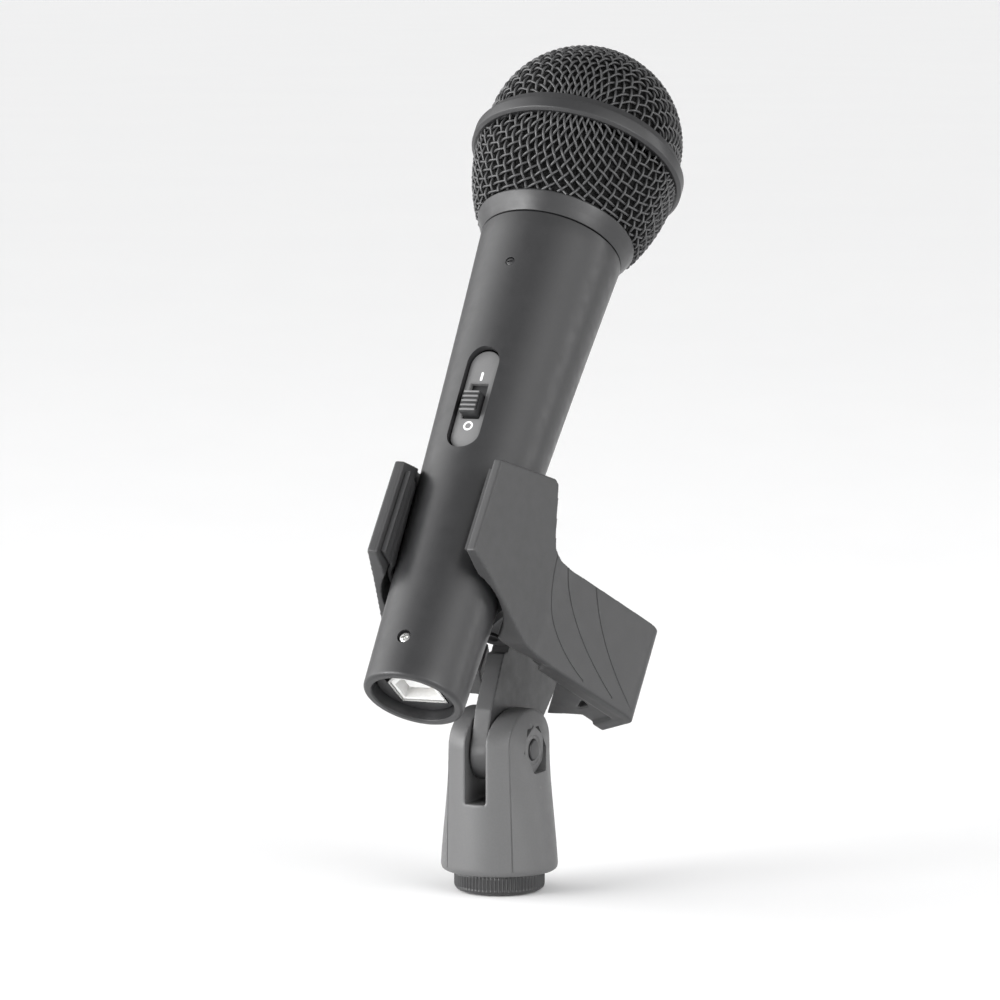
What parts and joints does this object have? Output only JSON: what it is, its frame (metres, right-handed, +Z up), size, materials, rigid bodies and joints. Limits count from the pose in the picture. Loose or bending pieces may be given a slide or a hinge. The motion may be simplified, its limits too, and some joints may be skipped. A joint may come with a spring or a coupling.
{
  "type": "dynamic vocal microphone in a spring clip on a stand adapter",
  "caption": "Handheld dynamic vocal microphone with a USB socket and slide switch, held in a sprung clothespin clip on a tilting stand adapter.",
  "frame": {"origin": "centre of the stand thread's lower rim, where a microphone stand screws in from below", "axes": "+Z up along the stand thread; X along the swivel bolt; the microphone's head leans towards +Y and its USB end points towards -Y"},
  "size_m": [0.0662, 0.1267, 0.1973],
  "materials": {
    "paint": "satin dark grey powder coat",
    "mesh": "dark grey painted woven wire",
    "foam": "open black foam",
    "black_plastic": "matt black moulding",
    "clip_plastic": "matt dark grey moulding",
    "stand_plastic": "matt dark grey moulding",
    "plate_grey": "satin mid grey",
    "rubber": "matt black rubber",
    "nickel": "nickel plate",
    "zinc": "zinc plated steel",
    "white_plastic": "white moulding",
    "board": "green solder mask on glass epoxy",
    "copper": "enamelled copper winding",
    "film": "clear polyester film"
  },
  "bodies": {
    "stand": {"clevis": "stand_plastic", "swivel_bolt": "zinc", "swivel_nut": "stand_plastic", "thread_insert": "stand_plastic"},
    "clip": {"tongue": "clip_plastic", "hinge_pin": "zinc", "torsion_spring": "nickel"},
    "jaw_right": {"jaw_right": "clip_plastic", "pad_right": "rubber"},
    "jaw_left": {"jaw_left": "clip_plastic", "pad_left": "rubber"},
    "microphone": {"handle_body": "paint", "collar_ring": "paint", "grille_lower": "mesh", "grille_band": "paint", "grille_upper": "mesh", "foam_upper": "foam", "foam_lower": "foam", "capsule_carrier": "black_plastic", "shock_mount": "rubber", "capsule_housing": "black_plastic", "magnet_yoke": "zinc", "magnet": "nickel", "pole_piece": "zinc", "capsule_grid": "black_plastic", "end_insert": "black_plastic", "end_screw": "nickel", "set_screw": "paint", "usb_shell": "nickel", "usb_insulator": "white_plastic", "circuit_board": "board", "converter_chip": "black_plastic", "crystal_can": "nickel", "capacitor": "zinc", "switch_plate": "plate_grey", "switch_body": "black_plastic"},
    "switch": {"switch_slider": "black_plastic"},
    "diaphragm": {"diaphragm": "film", "voice_coil": "copper"}
  },
  "joints": [
    {"name": "tilt", "type": "hinge", "parent": "stand", "child": "clip", "pos_m": [0, 0, 0.0336], "axis": [1, 0, 0], "range_deg": [-43, 80]},
    {"name": "jaw_right_open", "type": "hinge", "parent": "clip", "child": "jaw_right", "pos_m": [0, 0.00313, 0.06889], "axis": [0, 0.6088, 0.7934], "range_deg": [0, 8], "stiffness_Nm_per_rad": 0.3, "springref_deg": -28.65},
    {"name": "jaw_left_open", "type": "hinge", "parent": "clip", "child": "jaw_left", "pos_m": [0, 0.00313, 0.06889], "axis": [0, 0.6088, 0.7934], "range_deg": [-8, 0]},
    {"name": "microphone_lift", "type": "slide", "parent": "clip", "child": "microphone", "axis": [0, 0.6088, 0.7934], "range_m": [0, 0.07]},
    {"name": "switch_travel", "type": "slide", "parent": "microphone", "child": "switch", "axis": [-0.0018, 0.5733, 0.8193], "range_m": [0, 0.003]},
    {"name": "diaphragm_travel", "type": "slide", "parent": "microphone", "child": "diaphragm", "axis": [0, 0.6088, 0.7934], "range_m": [-0.0003, 0.0003], "stiffness_N_per_m": 400}
  ],
  "couplings": [
    {"joint": "jaw_left_open", "follows": "jaw_right_open", "ratio": -1}
  ]
}
